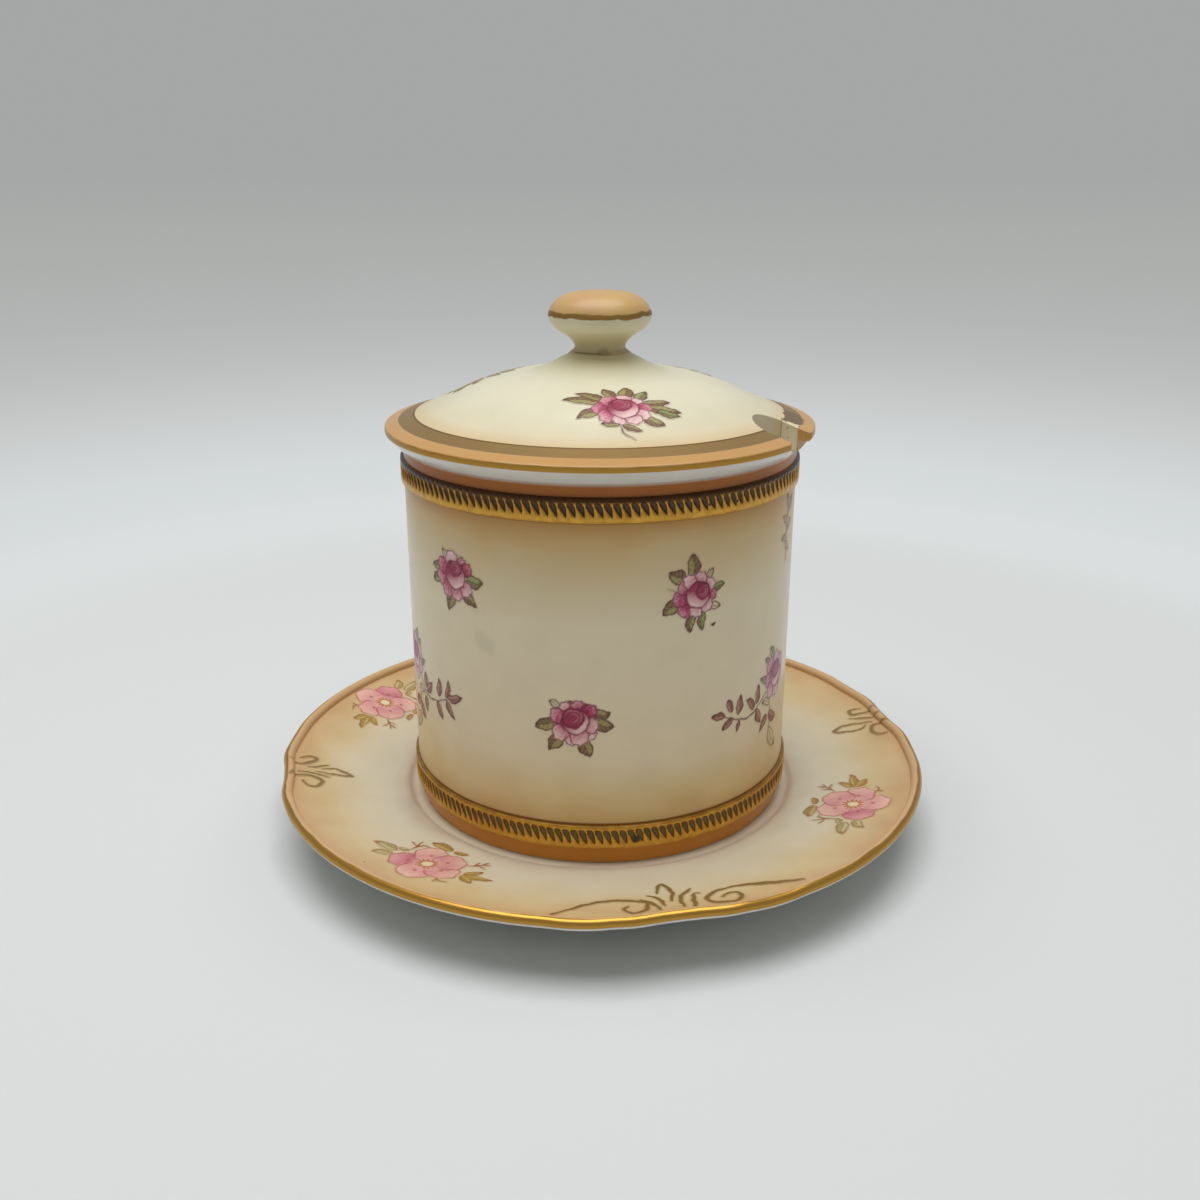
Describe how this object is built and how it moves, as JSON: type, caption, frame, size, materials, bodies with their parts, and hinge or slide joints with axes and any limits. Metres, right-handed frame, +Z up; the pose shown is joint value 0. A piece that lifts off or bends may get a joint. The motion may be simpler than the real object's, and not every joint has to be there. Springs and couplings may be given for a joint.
{
  "type": "jam pot",
  "caption": "Covered cylindrical jam pot with a spoon notch and a button knob, on its own round lobed saucer.",
  "frame": {"origin": "centre of the saucer's foot ring, on the table", "axes": "+Z up through the knob, -Y towards the pictured front, +X to the right in the picture"},
  "size_m": [0.147, 0.147, 0.117],
  "materials": {
    "saucer_glaze": "ivory glaze with peach rim",
    "pot_glaze": "ivory glaze with printed roses",
    "band_gilt": "relief with worn gilding",
    "cover_glaze": "ivory glaze with peach and gilt brim",
    "knob_glaze": "ivory and peach glaze with gilt line"
  },
  "bodies": {
    "saucer": {"saucer": "saucer_glaze"},
    "pot": {"pot": "pot_glaze", "upper_band": "band_gilt", "lower_band": "band_gilt"},
    "cover": {"cover": "cover_glaze", "knob": "knob_glaze"}
  },
  "joints": [
    {"name": "pot_lift", "type": "slide", "parent": "saucer", "child": "pot", "axis": [0, 0, 1], "range_m": [0, 0.06]},
    {"name": "cover_lift", "type": "slide", "parent": "pot", "child": "cover", "axis": [0, 0, 1], "range_m": [0, 0.06]}
  ]
}
